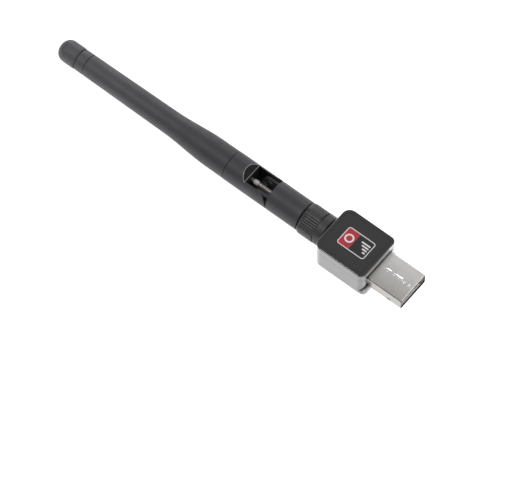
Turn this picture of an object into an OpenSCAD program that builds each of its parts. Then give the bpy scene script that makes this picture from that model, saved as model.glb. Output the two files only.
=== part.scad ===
// USB wifi adapter with a screw-on antenna that swivels and folds at an elbow.
// The origin is the centre of the plug where it leaves the case. +X runs out along
// the plug, -X out along the antenna, and +Z is the side with the badge.

/* [Case] */
// Length of the case along the plug
case_l = 18.8; // [17.5:0.1:26]
// Width of the case across the plug
case_w = 17.2; // [16:0.1:24]
// Height of the case
case_h = 10.8; // [10.2:0.1:14]
// Radius of the upright corners beside the antenna
case_corner_r = 2.8; // [1.5:0.1:4]
// Radius of the upright corners beside the plug
front_corner_r = 1.8; // [1.4:0.1:3]
// Thickness of the case walls
case_wall = 1.1; // [0.8:0.05:1.4]
// Bevel along the edge of the badge side
badge_edge = 0.35; // [0.1:0.05:0.7]
// Bevel along the edge of the light side
light_edge = 1.0; // [0.2:0.05:1.3]
// How far the rim of the upper half reaches into the lower half
rim_depth = 0.8; // [0.4:0.1:1.2]
// Thickness of that rim
rim_t = 0.6; // [0.4:0.1:0.8]
// How far the lip under the plug stands out
lip_l = 0.9; // [0.4:0.1:2]
// Height of the lip under the plug
lip_h = 2.7; // [1:0.1:2.7]
// Bevel along the lip's upper edge
lip_bevel = 0.7; // [0.1:0.1:1]
// Radius of the hole that the status light shines through
light_hole_r = 0.5; // [0.3:0.05:1]

/* [Badge] */
// Length of the badge along the plug
badge_l = 10.3; // [6:0.1:14]
// Width of the badge
badge_w = 6.9; // [4:0.1:12]
// Thickness of the badge
badge_t = 0.3; // [0.2:0.05:0.5]
// Radius of the badge's corners
badge_corner_r = 0.9; // [0.3:0.1:1.5]

/* [USB plug] */
// Length of plug outside the case
plug_l = 13.0; // [11.5:0.1:16]
// Width of the plug's metal shell
plug_w = 12.0; // [11.5:0.05:12.5]
// Height of the plug's metal shell
plug_h = 4.5; // [4.3:0.05:4.7]
// Thickness of the sheet metal
plug_sheet = 0.3; // [0.2:0.05:0.4]
// Outer radius of the folded corners
plug_corner_r = 0.7; // [0.5:0.05:1]
// Length of shell inside the case
plug_root = 5.2; // [4:0.1:7]
// Side of the two square latch holes
latch_hole = 2.3; // [1.5:0.1:2.6]
// Distance from the case to the middle of the latch holes
latch_x = 6.7; // [5:0.1:8]
// Distance between the middles of the latch holes
latch_pitch = 6.0; // [5:0.1:7]
// Thickness of the plastic tongue
tongue_t = 1.85; // [1.6:0.05:1.95]
// How far the tongue's end lies inside the mouth
tongue_inset = 0.8; // [0.5:0.1:1.5]
// Width of each contact
contact_w = 1.0; // [0.8:0.05:1.2]

/* [Board] */
// Thickness of the circuit board
board_t = 1.0; // [0.8:0.1:1.2]
// Side of the square radio chip
chip_side = 5.0; // [3:0.1:5.5]

/* [Antenna jack and nut] */
// Radius of the jack's threaded barrel
barrel_r = 3.1; // [2.9:0.05:3.3]
// Length of barrel outside the case
barrel_l = 5.85; // [5:0.05:7.1]
// Side of the jack's square flange
flange_side = 6.4; // [6.2:0.1:7]
// Gap between the case and the knurled sleeve
nut_gap = 0.5; // [0.3:0.1:1.5]
// Length of the knurled sleeve
grip_l = 8.9; // [8.5:0.1:11]
// Radius of the knurled sleeve over its ribs
grip_r = 5.38; // [5.0:0.01:5.4]
// Length of the smooth collar next to the case
collar_l = 2.7; // [1:0.1:4]
// Distance across the flats of the metal nut
nut_flats = 7.8; // [7.4:0.1:8]
// Number of grooves in each of the three knurled bands
band_grooves = 9; // [5:1:10]

/* [Swivel tube] */
// Radius of the antenna's base
tube_r = 5.0; // [4.9:0.05:5.1]
// Length of the swivel tube up to its shoulder
tube_l = 11.9; // [11:0.1:18]
// Radius of the ferrule that the tube turns on
ferrule_r = 2.7; // [2.5:0.05:2.8]
// Radius of the coaxial cable
coax_r = 0.9; // [0.6:0.05:0.95]

/* [Elbow] */
// Width of the slot between the ears
slot_w = 7.0; // [5.8:0.1:7.2]
// Radius of the ears' ends round the pivot
ear_r = 3.5; // [3:0.1:4]
// Depth of the slot's floor below the axis
slot_depth = 3.2; // [3.2:0.1:3.9]
// Radius of the elbow pins
pin_r = 1.2; // [0.8:0.05:1.4]
// Length of the forked knuckle
knuckle_l = 16.4; // [14.5:0.1:22]

/* [Mast] */
// Length of the tapered sleeve
sleeve_l = 56.9; // [50:0.5:90]
// Radius of the sleeve after its shoulder
waist_r = 3.92; // [3.85:0.01:4.2]
// Radius of the sleeve at its far end
sleeve_tip_r = 3.65; // [3.6:0.01:3.9]
// Length of the tip cap
cap_l = 10.9; // [9:0.1:14]
// Radius of the tip cap
cap_r = 3.75; // [3.7:0.01:3.9]
// Radius of the dipole's brass tubes
dipole_r = 2.2; // [1.8:0.05:2.4]

/* [Hidden] */
$fn = 96;
seat = 0.05;           // gap between pieces that sit in each other
running = 0.05;        // gap round a piece that turns on another
part_gap = 0.25;       // gap between the outer faces of moving pieces
cut = 1;               // how far a cutting shape runs past a face

// case
split_z = plug_h / 2 + 0.15;
case_top = case_h / 2;
inner_l = case_l - 2 * case_wall;
inner_w = case_w - 2 * case_wall;
case_mid_x = -case_l / 2;
badge_recess = badge_t - 0.1;
badge_x = case_mid_x + 0.5;
light_x = -0.45 * case_l;
light_y = -case_w / 4;
lip_low_edge = min(light_edge, lip_h / 2 - 0.1);
lip_top_edge = min(lip_bevel, lip_h / 2 - 0.1);
least_corner_r = 0.3;
inner_corner_r = max(least_corner_r, case_corner_r - case_wall);
inner_front_r = max(least_corner_r, front_corner_r - case_wall);
rim_corner_r = max(least_corner_r, case_corner_r - case_wall - rim_t);
rim_front_r = max(least_corner_r, front_corner_r - case_wall - rim_t);

// plug
shell_end = -plug_root;
mouth_w = plug_w - 2 * plug_sheet;
mouth_h = plug_h - 2 * plug_sheet;
mouth_corner_r = plug_corner_r - plug_sheet;
block_corner_r = mouth_corner_r - seat;
block_end = 1.6;
tongue_end = plug_l - tongue_inset;
tongue_under = mouth_h / 2 - seat - tongue_t;
contact_t = 0.25;
contact_ys = [-3.5, -1.0, 1.0, 3.5];
leg_l = 1.6;
notch_l = 1.9;

// jack, board and what is on it
flange_t = 1.5;
flange_s = -case_wall - seat - flange_t;
board_x0 = -case_l - flange_s;
board_x1 = shell_end - 0.8;
board_l = board_x1 - board_x0;
board_w = inner_w - 1;
solder_leg = 1.0;
solder_leg_l = 3.6;
post_r = 0.9;
chip_x = board_x1 - 0.9 - chip_side / 2;
jack_bore_r = barrel_r - 0.8;
contact_mouth_s = barrel_l - 1.9;
jack_insulator_s = contact_mouth_s - 0.6;
jack_pin_r = 0.46;

// nut, ferrule and their rings, as distances from the case along the antenna
grip_end = nut_gap + grip_l;
collar_r = grip_r - 0.1;
hex_r = nut_flats / 2 / cos(30);
nut_s = nut_gap + 0.5;
thread_bore_r = barrel_r + 0.1;
gasket_t = 0.6;
ferrule_s = barrel_l + seat + gasket_t;
ferrule_flange_t = 0.8;
nut_wall_s = ferrule_s + ferrule_flange_t + seat;
nut_wall_t = 1.85;
nut_end = max(grip_end - 0.2, nut_wall_s + nut_wall_t);
ring_s = nut_wall_s + 0.35;
ring_t = 0.3;
ring_r = ferrule_r + 0.3;
insulator_r = jack_bore_r - 0.2;
insulator_end = ferrule_s + 2.2;
contact_r = 0.75;
contact_end = insulator_end + 0.4;

// swivel tube and elbow
tube_s = max(grip_end, nut_end + 0.2) + part_gap;
tube_wall_t = 1.4;
clip_s = tube_s + tube_wall_t + seat;
clip_t = 0.7;
tube_bore_r = tube_r - 1.35;
tube_end = tube_s + tube_l;
web_t = 2.0;
dome_r = slot_w / 2 + 0.1;
dome_h = 1.1;
dome_sphere_r = (dome_r * dome_r + dome_h * dome_h) / (2 * dome_h);
dome_end = tube_end + dome_h;
pivot_s = tube_end + 0.3 + ear_r;
fork_s = pivot_s - ear_r;
slot_end = pivot_s + tube_r + 0.25;
recess_end = slot_end + 2;
lug_t = 0.9;
lug_y = slot_w / 2 - 0.2 - lug_t;
lug_r = 2.2;
pin_reach = slot_w / 2 + 0.8;
coax_hole_r = coax_r + 0.1;
elbow_coax_s = tube_end + 0.5;
elbow_coax_end = slot_end + 0.4;

// mast
knuckle_end = fork_s + knuckle_l;
spigot_r = waist_r - 0.2;
spigot_l = 5;
knuckle_bore_r = 3;
sleeve_s = knuckle_end + 0.05;
sleeve_end = sleeve_s + sleeve_l;
sleeve_bore_r = sleeve_tip_r - 0.9;
shoulder_s = sleeve_s + 6.7;
shoulder_end = shoulder_s + 18;
cap_s = sleeve_end + 0.1;
tip_s = cap_s + cap_l;
cap_groove_s = cap_s + 3.3;
cap_round_r = 3;
dipole_s = knuckle_end + spigot_l + 0.7;
dipole_l = 25.5;
feed_s = dipole_s + dipole_l;
radiator_end = sleeve_end - 3.6;
tube_sheet = 0.25;
spacer_l = 2;

// ---- shared shapes ----

// Puts a shape on the antenna's axis, s millimetres out from the case, its +Z outwards.
module on_antenna(s) {
    translate([-case_l - s, 0, 0]) rotate([0, -90, 0]) children();
}

// A turned piece from an outline of [radius, distance from the case].
module turned(outline) {
    on_antenna(0) rotate_extrude() polygon(outline);
}

// A plain tube or rod on the antenna's axis from s0 to s1.
module axis_tube(r_out, r_in, s0, s1) {
    on_antenna(s0) difference() {
        cylinder(r = r_out, h = s1 - s0);
        if (r_in > 0) translate([0, 0, -cut]) cylinder(r = r_in, h = s1 - s0 + 2 * cut);
    }
}

// A cylinder that lies across the antenna at the elbow's pivot, from y0 to y1.
module across_pivot(r, y0, y1) {
    translate([-case_l - pivot_s, y1, 0]) rotate([90, 0, 0]) cylinder(r = r, h = y1 - y0);
}

// A rectangle with corners of radius r at its -X end and rf at its +X end.
module rounded_outline(l, w, r, rf) {
    translate([(r - rf) / 2, 0]) square([l - r - rf, w], center = true);
    for (side = [[-1, r], [1, rf]]) {
        translate([side[0] * (l / 2 - side[1]), 0]) square([2 * side[1], w - 2 * side[1]], center = true);
        for (sy = [-1, 1])
            translate([side[0] * (l / 2 - side[1]), sy * (w / 2 - side[1])]) circle(r = side[1]);
    }
}

// A plate of that outline with a bevel of size c round its upper edge.
module bevelled_plate(l, w, h, r, rf, c) {
    linear_extrude(h - c) rounded_outline(l, w, r, rf);
    translate([0, 0, h - c]) {
        for (side = [[-1, r], [1, rf]]) {
            for (sy = [-1, 1])
                translate([side[0] * (l / 2 - side[1]), sy * (w / 2 - side[1]), 0])
                    cylinder(r1 = side[1], r2 = side[1] - c, h = c);
            rotate([0, 0, 90 - 90 * side[0]]) bevelled_bar(-c, l / 2, w - 2 * side[1], c, 0);
        }
        translate([(r - rf) / 2, 0, 0]) rotate([0, 0, 90]) bevelled_bar(-w / 2, w / 2, l - r - rf, c, c);
    }
}

// A flat bar from x0 to x1 at its base, narrowing by c at its +X end and by c0 at the other.
module bevelled_bar(x0, x1, w, c, c0) {
    rotate([90, 0, 0]) linear_extrude(w, center = true) polygon([[x0, 0], [x1, 0], [x1 - c, c], [x0 + c0, c]]);
}

// The openings that both case halves leave for the plug and the jack.
module case_openings() {
    translate([-case_wall - cut, -plug_w / 2 - 0.1, -plug_h / 2 - 0.1])
        cube([case_wall + lip_l + 2 * cut, plug_w + 0.2, split_z + plug_h / 2 + 0.1]);
    axis_tube(barrel_r + 0.15, 0, -case_wall - cut, cut);
}

// ---- case ----

module top_shell() {
    color("#3c3a3c") difference() {
        union() {
            translate([case_mid_x, 0, split_z])
                bevelled_plate(case_l, case_w, case_top - split_z, case_corner_r, front_corner_r, badge_edge);
            translate([case_mid_x, 0, split_z - rim_depth])
                linear_extrude(rim_depth + seat) rounded_outline(
                    inner_l - 2 * seat, inner_w - 2 * seat, inner_corner_r, inner_front_r);
        }
        translate([case_mid_x, 0, split_z - cut])
            linear_extrude(case_top - case_wall - split_z + cut) rounded_outline(
                inner_l - 2 * seat - 2 * rim_t, inner_w - 2 * seat - 2 * rim_t, rim_corner_r, rim_front_r);
        translate([badge_x, 0, case_top - badge_recess])
            linear_extrude(badge_t) rounded_outline(
                badge_l + 2 * seat, badge_w + 2 * seat, badge_corner_r, badge_corner_r);
        // the rim stops at the plug and the jack's flange
        translate([-case_wall - rim_t - cut, -plug_w / 2 - 0.1, split_z - rim_depth - cut])
            cube([case_wall + rim_t + 2 * cut, plug_w + 0.2, rim_depth + cut]);
        translate([-case_l + case_wall - cut, -flange_side / 2 - 0.2, split_z - rim_depth - cut])
            cube([rim_t + 2 * cut, flange_side + 0.4, rim_depth + cut]);
        translate([-case_l + case_wall + seat, -flange_side / 2 - 0.2, 0])
            cube([rim_t + cut, flange_side + 0.4, flange_side / 2 + 0.1]);
        axis_tube(barrel_r + 0.15, 0, -case_wall - cut, cut);
    }
}

// The foot of the case, which runs on under the plug as a lip of the same width.
module lip() {
    l = lip_l + 2 * case_corner_r;
    r = front_corner_r;
    translate([lip_l - l / 2, 0, lip_h / 2 - case_top]) {
        bevelled_plate(l, case_w, lip_h / 2, r, r, lip_top_edge);
        mirror([0, 0, 1]) bevelled_plate(l, case_w, lip_h / 2, r, r, lip_low_edge);
    }
}

module bottom_shell() {
    color("#454244") difference() {
        union() {
            translate([case_mid_x, 0, split_z]) mirror([0, 0, 1])
                bevelled_plate(case_l, case_w, case_top + split_z, case_corner_r, front_corner_r, light_edge);
            lip();
        }
        translate([case_mid_x, 0, -case_top + case_wall])
            linear_extrude(case_h) rounded_outline(inner_l, inner_w, inner_corner_r, inner_front_r);
        case_openings();
        translate([light_x, light_y, -case_top - cut]) cylinder(r = light_hole_r, h = case_wall + 2 * cut);
    }
    // posts that carry the board
    for (x = [board_x0 + post_r, board_x1 - post_r], sy = [-1, 1])
        color("#454244") translate([x, sy * (board_w / 2 - post_r), -case_top + case_wall])
            cylinder(r = post_r, h = case_top - case_wall - board_t / 2);
}

module label_badge() {
    color("#be323c") translate([badge_x, 0, case_top - badge_recess])
        linear_extrude(badge_t) rounded_outline(badge_l, badge_w, badge_corner_r, badge_corner_r);
}

// ---- USB plug ----

module usb_shell() {
    color("#b9b6b2") difference() {
        union() {
            translate([(plug_l + shell_end) / 2, 0, 0]) rotate([0, 90, 0])
                linear_extrude(plug_l - shell_end, center = true)
                    rounded_outline(plug_h, plug_w, plug_corner_r, plug_corner_r);
            // legs that are soldered into the board
            for (sy = [-1, 1])
                translate([shell_end - leg_l, sy * (plug_w - plug_sheet) / 2 - plug_sheet / 2, -board_t / 2])
                    cube([leg_l + cut, plug_sheet, board_t]);
        }
        translate([(plug_l + shell_end) / 2, 0, 0]) rotate([0, 90, 0])
            linear_extrude(plug_l - shell_end + 2 * cut, center = true)
                rounded_outline(mouth_h, mouth_w, mouth_corner_r, mouth_corner_r);
        for (sy = [-1, 1]) {
            translate([latch_x, sy * latch_pitch / 2, -plug_h / 2])
                cube([latch_hole, latch_hole, 3 * plug_sheet], center = true);
            translate([notch_l / 2, sy * latch_pitch / 2, -plug_h / 2])
                cube([notch_l, latch_hole, 3 * plug_sheet], center = true);
            translate([latch_x + 1.6, sy * plug_w / 2, -1.3])
                cube([1.5, 3 * plug_sheet, 0.6], center = true);
        }
    }
}

module usb_tongue() {
    block_l = block_end - shell_end;
    color("#e9e7e2") difference() {
        union() {
            translate([shell_end + block_l / 2, 0, 0]) rotate([0, 90, 0])
                linear_extrude(block_l, center = true)
                    rounded_outline(mouth_h - 2 * seat, mouth_w - 2 * seat, block_corner_r, block_corner_r);
            translate([block_end - cut, -mouth_w / 2 + 0.4, tongue_under])
                cube([tongue_end - block_end + cut, mouth_w - 0.8, tongue_t]);
        }
        for (y = contact_ys)
            translate([shell_end - cut, y - contact_w / 2 - seat, tongue_under - contact_t])
                cube([tongue_end - shell_end - 0.8 + cut, contact_w + 2 * seat, 2 * contact_t]);
    }
}

module usb_contacts() {
    blade_end = tongue_end - 1;
    tail_z = -board_t / 2 - contact_t;
    color("#d8b04a") for (y = contact_ys)
        translate([0, y - contact_w / 2, 0]) {
            inner = abs(y) < 2;
            translate([shell_end - 0.3, 0, tongue_under - seat])
                cube([blade_end - shell_end + 0.3 - (inner ? 1.2 : 0), contact_w, contact_t]);
            translate([shell_end - 0.55, 0, tail_z])
                cube([0.3, contact_w, tongue_under - seat + contact_t - tail_z]);
            translate([board_x1 - 1.2, 0, tail_z])
                cube([shell_end - 0.3 - board_x1 + 1.2, contact_w, contact_t]);
        }
}

// ---- circuit board ----

module circuit_board() {
    color("#1f5c3a") difference() {
        translate([board_x0, -board_w / 2, -board_t / 2]) cube([board_l, board_w, board_t]);
        for (sy = [-1, 1])
            translate([shell_end - leg_l - 0.1, sy * (plug_w - plug_sheet) / 2 - plug_sheet / 2 - 0.1, -board_t])
                cube([leg_l + cut, plug_sheet + 0.2, 2 * board_t]);
    }
}

module wifi_chip() {
    color("#1c1c1e") translate([chip_x - chip_side / 2, -chip_side / 2, board_t / 2])
        cube([chip_side, chip_side, 0.9]);
}

module flash_chip() {
    color("#1c1c1e") translate([chip_x - 2.4, 0.2, -board_t / 2 - 0.8]) cube([3, 3, 0.8]);
}

module crystal_can() {
    color("#c8c8c6") translate([board_x0 + 0.6, board_w / 2 - 3, board_t / 2]) cube([3.2, 2.5, 0.8]);
}

module chip_passives() {
    color("#8d7a5b") for (row = [0, 1], k = [0:3])
        translate([board_x0 + 1 + 1.7 * k, -board_w / 2 + 0.8 + 1.3 * row, board_t / 2])
            cube([1, 0.5, 0.45]);
}

module status_light() {
    color("#dfeee2") translate([light_x - 0.8, light_y - 0.4, -board_t / 2 - 0.6]) cube([1.6, 0.8, 0.6]);
}

// ---- antenna jack, fixed to the board ----

module jack_body() {
    color("#c9a24a") difference() {
        union() {
            on_antenna(flange_s + flange_t / 2) cube([flange_side, flange_side, flange_t], center = true);
            axis_tube(barrel_r, 0, flange_s + flange_t / 2, barrel_l);
            for (sy = [-1, 1], sz = [-1, 1])
                translate([board_x0 - cut, sy * (flange_side - solder_leg) / 2 - solder_leg / 2,
                           sz * (board_t / 2 + solder_leg / 2) - solder_leg / 2])
                    cube([solder_leg_l + cut, solder_leg, solder_leg]);
        }
        axis_tube(jack_bore_r, 0, flange_s - cut, barrel_l + cut);
    }
}

module jack_insulator() {
    color("#ece9e0") axis_tube(jack_bore_r - 0.02, jack_pin_r + 0.02, flange_s, jack_insulator_s);
}

module jack_pin() {
    color("#d8b04a") axis_tube(jack_pin_r, 0, flange_s + 0.1, contact_mouth_s + 1);
}

// ---- coupling nut ----

module coupling_nut() {
    color("#b9b7b4") on_antenna(nut_s) difference() {
        cylinder(r = hex_r, h = nut_end - nut_s, $fn = 6);
        translate([0, 0, -cut]) cylinder(r = thread_bore_r, h = nut_wall_s - nut_s + cut);
        translate([0, 0, -cut]) cylinder(r = ferrule_r + running, h = nut_end - nut_s + 2 * cut);
        translate([0, 0, ring_s - 0.05 - nut_s]) cylinder(r = ring_r + 0.1, h = ring_t + 0.1);
    }
}

module knurled_sleeve() {
    knurl_s = nut_gap + collar_l;
    groove_depth = 0.28;
    groove_w = 0.36;
    groove_step = 7.8;
    color("#333135") difference() {
        turned([
            [barrel_r + 0.35, nut_gap], [collar_r - 0.15, nut_gap], [collar_r, nut_gap + 0.15],
            [collar_r, knurl_s - 0.25], [collar_r - 0.25, knurl_s - 0.1], [collar_r - 0.25, knurl_s + 0.1],
            [grip_r, knurl_s + 0.3], [grip_r, grip_end - 0.8], [grip_r - 0.4, grip_end],
            [barrel_r + 0.35, grip_end]
        ]);
        on_antenna(nut_s - seat) cylinder(r = hex_r + seat, h = grip_l, $fn = 6);
        for (band = [0:2], k = [0:band_grooves - 1])
            on_antenna(knurl_s + 0.1)
                rotate([0, 0, 120 * band + 205 + (k - (band_grooves - 1) / 2) * groove_step])
                    translate([grip_r - groove_depth, -groove_w / 2, 0])
                        cube([cut, groove_w, grip_l]);
    }
}

// ---- ferrule and contact, which the nut turns on ----

module ferrule() {
    shank_end = clip_s + clip_t + 0.4;
    neck_r = ferrule_r - 0.3;
    color("#a9a7a4") turned([
        [insulator_r + 0.03, ferrule_s], [barrel_r - 0.1, ferrule_s],
        [barrel_r - 0.1, ferrule_s + ferrule_flange_t], [ferrule_r, ferrule_s + ferrule_flange_t],
        [ferrule_r, ring_s - 0.05], [neck_r, ring_s - 0.05],
        [neck_r, ring_s + ring_t + 0.05], [ferrule_r, ring_s + ring_t + 0.05],
        [ferrule_r, shank_end], [coax_r + 0.4, shank_end],
        [coax_r + 0.4, insulator_end + 0.05], [insulator_r + 0.03, insulator_end + 0.05]
    ]);
}

module snap_ring() {
    color("#8f8d8a") axis_tube(ring_r, ferrule_r - 0.25, ring_s, ring_s + ring_t);
}

module gasket() {
    color("#26262a") axis_tube(barrel_r - 0.1, insulator_r + 0.1, ferrule_s - gasket_t, ferrule_s - 0.02);
}

module swivel_clip() {
    color("#8f8d8a") axis_tube(tube_bore_r - 0.25, ferrule_r + 0.02, clip_s, clip_s + clip_t);
}

module contact_insulator() {
    color("#ece9e0") axis_tube(insulator_r, contact_r + 0.02, contact_mouth_s + 0.1, insulator_end);
}

module center_contact() {
    color("#d8b04a") difference() {
        axis_tube(contact_r, 0, contact_mouth_s, contact_end);
        axis_tube(jack_pin_r + 0.04, 0, contact_mouth_s - cut, contact_mouth_s + 1.6);
    }
}

// ---- swivel tube ----

module lower_knuckle() {
    color("#4b494e") difference() {
        union() {
            turned([
                [0, tube_s], [tube_r - 0.3, tube_s], [tube_r, tube_s + 0.3],
                [tube_r, tube_end - 0.3], [tube_r - 0.3, tube_end], [0, tube_end]
            ]);
            intersection() {
                on_antenna(dome_end - dome_sphere_r) sphere(r = dome_sphere_r);
                axis_tube(dome_r, 0, tube_end - cut, dome_end + cut);
            }
            lugs();
        }
        axis_tube(ferrule_r + running, 0, tube_s - cut, tube_s + tube_wall_t + cut);
        axis_tube(tube_bore_r, 0, tube_s + tube_wall_t, tube_end - web_t);
        axis_tube(coax_hole_r, 0, tube_end - web_t - cut, dome_end + cut);
        across_pivot(pin_r + running, -slot_w, slot_w);
    }
}

// The two inner lugs that turn on the elbow pins.
module lugs() {
    for (y0 = [-lug_y - lug_t, lug_y]) {
        across_pivot(lug_r, y0, y0 + lug_t);
        on_antenna(tube_end - cut) translate([-lug_r, y0, 0]) cube([2 * lug_r, lug_t, pivot_s - tube_end + cut]);
    }
}

module coax_lower() {
    color("#6b4a3c") axis_tube(coax_r, 0, contact_end + 0.05, elbow_coax_s - 0.02);
}

module coax_elbow() {
    color("#6b4a3c") axis_tube(coax_r, 0, elbow_coax_s, elbow_coax_end);
}

// ---- elbow ----

module upper_knuckle() {
    color("#4b494e") difference() {
        turned([
            [0, fork_s], [tube_r - 0.15, fork_s], [tube_r, fork_s + 0.15],
            [tube_r, knuckle_end - 0.15], [tube_r - 0.15, knuckle_end],
            [spigot_r, knuckle_end], [spigot_r, knuckle_end + spigot_l], [0, knuckle_end + spigot_l]
        ]);
        // the slot and the sloped recess at its end
        on_antenna(fork_s - cut) translate([-slot_depth, -slot_w / 2, 0])
            cube([slot_depth + tube_r + cut, slot_w, slot_end - fork_s + cut]);
        translate([-case_l, tube_r + cut, 0]) rotate([90, 0, 0]) linear_extrude(2 * (tube_r + cut))
            polygon([[-slot_end + cut, slot_depth], [-slot_end, slot_depth], [-recess_end, tube_r],
                     [-recess_end, tube_r + cut], [-slot_end + cut, tube_r + cut]]);
        // the ears' ends are round on the side that they fold to
        difference() {
            translate([-case_l - pivot_s, -tube_r - cut, 0])
                cube([ear_r + cut, 2 * (tube_r + cut), tube_r + cut]);
            across_pivot(ear_r, -tube_r - 2 * cut, tube_r + 2 * cut);
            translate([-case_l - pivot_s - cut, -tube_r - 2 * cut, -cut])
                cube([cut, 2 * (tube_r + 2 * cut), tube_r + 3 * cut]);
        }
        across_pivot(pin_r + 0.03, -pin_reach, pin_reach);
        axis_tube(coax_hole_r, 0, slot_end - cut, knuckle_end);
        axis_tube(knuckle_bore_r, 0, slot_end + 2.4, knuckle_end + spigot_l + cut);
    }
}

module elbow_pins() {
    color("#c4c2be") {
        across_pivot(pin_r, lug_y, pin_reach - 0.05);
        across_pivot(pin_r, -pin_reach + 0.05, -lug_y);
    }
}

// ---- mast ----

module coax_upper() {
    color("#6b4a3c") axis_tube(coax_r, 0, elbow_coax_end + 0.02, feed_s);
}

// Radius of the sleeve, which eases from the shoulder to the waist and then tapers.
function ease(t) = t * t * (3 - 2 * t);
function sleeve_r(s) = s < shoulder_end
    ? tube_r - 0.07 - (tube_r - 0.07 - waist_r) * ease(max(0, (s - shoulder_s) / (shoulder_end - shoulder_s)))
    : waist_r - (waist_r - sleeve_tip_r) * (s - shoulder_end) / (sleeve_end - shoulder_end);

module antenna_sleeve() {
    steps = 12;
    socket_end = knuckle_end + spigot_l + 0.2;
    color("#4b494e") turned(concat(
        [[spigot_r + seat, sleeve_s], [sleeve_r(sleeve_s), sleeve_s]],
        [for (k = [0:steps]) let (s = shoulder_s + (shoulder_end - shoulder_s) * k / steps) [sleeve_r(s), s]],
        [[sleeve_tip_r, sleeve_end], [sleeve_bore_r, sleeve_end],
         [sleeve_bore_r, socket_end], [spigot_r + seat, socket_end]]
    ));
}

module tip_cap() {
    plug_r = sleeve_bore_r - seat;
    color("#5f5d64") turned(concat(
        [[0, cap_s - 3], [plug_r, cap_s - 3], [plug_r, cap_s], [sleeve_tip_r, cap_s],
         [sleeve_tip_r, cap_groove_s - 0.35], [sleeve_tip_r - 0.35, cap_groove_s - 0.2],
         [sleeve_tip_r - 0.35, cap_groove_s + 0.1], [cap_r - 0.1, cap_groove_s + 0.25]],
        [for (a = [0:10:90])
            [cap_r - cap_round_r * (1 - cos(a)), tip_s - cap_round_r * (1 - sin(a))]],
        [[0, tip_s]]
    ));
}

module dipole_sleeve() {
    color("#c09a4e") {
        axis_tube(dipole_r, dipole_r - tube_sheet, dipole_s, feed_s - 0.5);
        axis_tube(dipole_r, coax_r + 0.02, feed_s - 0.5, feed_s - 0.1);
    }
}

module radiator() {
    color("#c09a4e") {
        axis_tube(0.45, 0, feed_s + 0.02, feed_s + 1.5);
        axis_tube(dipole_r, 0, feed_s + 1.4, feed_s + 1.9);
        axis_tube(dipole_r, dipole_r - tube_sheet, feed_s + 1.8, radiator_end);
    }
}

module spacer_rings() {
    color("#e6e4de") for (s = [dipole_s + 2, radiator_end - 2 - spacer_l])
        axis_tube(sleeve_bore_r - 0.03, dipole_r + 0.02, s, s + spacer_l);
}

top_shell();
bottom_shell();
label_badge();
usb_shell();
usb_tongue();
usb_contacts();
circuit_board();
wifi_chip();
flash_chip();
crystal_can();
chip_passives();
status_light();
jack_body();
jack_insulator();
jack_pin();
coupling_nut();
knurled_sleeve();
ferrule();
snap_ring();
gasket();
swivel_clip();
contact_insulator();
center_contact();
lower_knuckle();
coax_lower();
coax_elbow();
upper_knuckle();
elbow_pins();
coax_upper();
antenna_sleeve();
tip_cap();
dipole_sleeve();
radiator();
spacer_rings();
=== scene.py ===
from math import cos, degrees, pi, radians, sin

import bmesh
import bpy
from mathutils import Matrix, Vector


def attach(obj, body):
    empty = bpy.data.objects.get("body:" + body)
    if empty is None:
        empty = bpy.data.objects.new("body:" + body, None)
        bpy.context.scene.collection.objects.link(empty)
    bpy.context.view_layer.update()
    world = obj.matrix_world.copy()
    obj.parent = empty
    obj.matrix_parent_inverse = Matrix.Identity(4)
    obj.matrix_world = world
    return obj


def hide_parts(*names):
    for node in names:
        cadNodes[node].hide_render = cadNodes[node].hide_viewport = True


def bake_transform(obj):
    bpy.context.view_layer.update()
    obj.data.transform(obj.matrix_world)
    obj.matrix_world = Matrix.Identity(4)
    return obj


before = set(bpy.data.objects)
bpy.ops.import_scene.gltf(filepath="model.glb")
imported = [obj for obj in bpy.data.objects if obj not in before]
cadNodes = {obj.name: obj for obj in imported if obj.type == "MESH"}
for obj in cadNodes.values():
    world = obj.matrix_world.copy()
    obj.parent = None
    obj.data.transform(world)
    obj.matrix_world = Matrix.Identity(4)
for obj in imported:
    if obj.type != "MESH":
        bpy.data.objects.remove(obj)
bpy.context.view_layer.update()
scene = bpy.context.scene
mm = 0.001
caseEnd = -18.8  # x of the face that the antenna screws onto; pieces are made in millimetres
print("frame loaded,", len(cadNodes), "nodes")


def atS(s):  # x of a point s mm out from the case along the antenna
    return caseEnd - s


# ---- materials ----

def addNode(owner, kind, values=None, wires=None, **settings):  # the owner is a material or the world
    node = owner.node_tree.nodes.new(kind)
    for key, value in settings.items():
        setattr(node, key, value)
    for socket, value in (values or {}).items():
        node.inputs[socket].default_value = value
    for socket, source in (wires or {}).items():
        owner.node_tree.links.new(source, node.inputs[socket])
    return node


def ramp(owner, source, low, high, start, end):
    return addNode(owner, "ShaderNodeMapRange", wires={"Value": source}, values={
        "From Min": start, "From Max": end, "To Min": low, "To Max": high}).outputs["Result"]


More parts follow.
